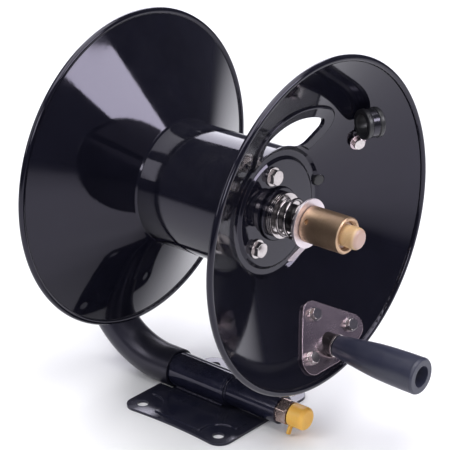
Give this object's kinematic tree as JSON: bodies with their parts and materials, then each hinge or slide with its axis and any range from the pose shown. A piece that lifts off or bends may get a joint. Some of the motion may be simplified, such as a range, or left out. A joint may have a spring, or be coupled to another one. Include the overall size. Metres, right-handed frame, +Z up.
{
  "type": "hose reel",
  "caption": "Hand-cranked steel hose reel: a drum between dished discs turns on a hollow axle with a brass swivel, carried from one side by a bent tube on a bolt-down plate.",
  "frame": {"origin": "middle of the four base bolt holes, on the base plate's underside", "axes": "+X along the drum axis towards the crank and the swivel, +Z up, +Y to the left of someone who faces the crank side"},
  "size_m": [0.407, 0.3048, 0.3648],
  "materials": {
    "gloss_black_paint": "deep gloss powder coat",
    "satin_black_paint": "satin powder coat",
    "zinc_plate": "bright zinc plate",
    "bright_steel": "bright plated steel",
    "dark_axle_steel": "oil-blackened steel",
    "copper_pipe": "drawn copper tube",
    "nickel_brass": "nickel-washed brass",
    "swivel_brass": "turned brass, dull",
    "bearing_bronze": "sintered bronze",
    "black_rubber": "smooth rubber",
    "black_clip_steel": "black coated strip",
    "yellow_plastic": "soft polyethylene",
    "grip_plastic": "satin moulded plastic",
    "black_cap_plastic": "satin moulded plastic"
  },
  "bodies": {
    "stand": {"base_plate": "gloss_black_paint", "base_sleeve": "gloss_black_paint", "sleeve_end_ring": "gloss_black_paint", "inlet_pipe": "gloss_black_paint", "inlet_fitting": "nickel_brass", "inlet_cap": "yellow_plastic", "arm_tube": "satin_black_paint", "axle_housing": "satin_black_paint", "supply_pipe": "copper_pipe", "axle_rear_washer": "zinc_plate", "axle_rear_nut": "zinc_plate", "axle_end_cap": "black_cap_plastic", "axle": "dark_axle_steel", "axle_spacer": "satin_black_paint", "thrust_washers": "bright_steel", "drag_spring": "bright_steel", "tab_washer": "zinc_plate", "swivel_orings": "black_rubber", "swivel_snap_ring": "bright_steel"},
    "drum": {"disc_crank_side": "gloss_black_paint", "disc_arm_side": "gloss_black_paint", "drum_tube": "gloss_black_paint", "hub_crank_side": "gloss_black_paint", "hub_arm_side": "gloss_black_paint", "hub_bush_crank_side": "bearing_bronze", "hub_bush_arm_side": "bearing_bronze", "hub_bolts_crank_side": "bright_steel", "hub_bolts_arm_side": "bright_steel", "hub_washers_crank_side": "bright_steel", "hub_washers_arm_side": "bright_steel", "hub_nuts_crank_side": "bright_steel", "hub_nuts_arm_side": "bright_steel", "handle_bracket": "zinc_plate", "bracket_bolts": "bright_steel", "bracket_washers": "bright_steel", "bracket_nuts": "bright_steel", "handle_collar": "dark_axle_steel", "handle_washer": "bright_steel", "handle_spindle": "bright_steel", "handle_nut": "bright_steel", "clip_band": "black_clip_steel", "clip_cushion": "black_rubber", "clip_washer": "zinc_plate", "clip_bolt": "bright_steel", "clip_nut": "bright_steel", "lock_hole_plug": "black_rubber"},
    "swivel": {"swivel_body": "swivel_brass", "swivel_plug": "yellow_plastic"},
    "grip": {"handle_grip": "grip_plastic"}
  },
  "joints": [
    {"name": "drum_spin", "type": "hinge", "parent": "stand", "child": "drum", "pos_m": [0.013, 0, 0.2124], "axis": [1, 0, 0], "continuous": true},
    {"name": "swivel_spin", "type": "hinge", "parent": "stand", "child": "swivel", "pos_m": [0.128, 0, 0.2124], "axis": [1, 0, 0], "continuous": true},
    {"name": "grip_spin", "type": "hinge", "parent": "drum", "child": "grip", "pos_m": [0.163, 0.02641, 0.08818], "axis": [1, 0, 0], "continuous": true}
  ]
}
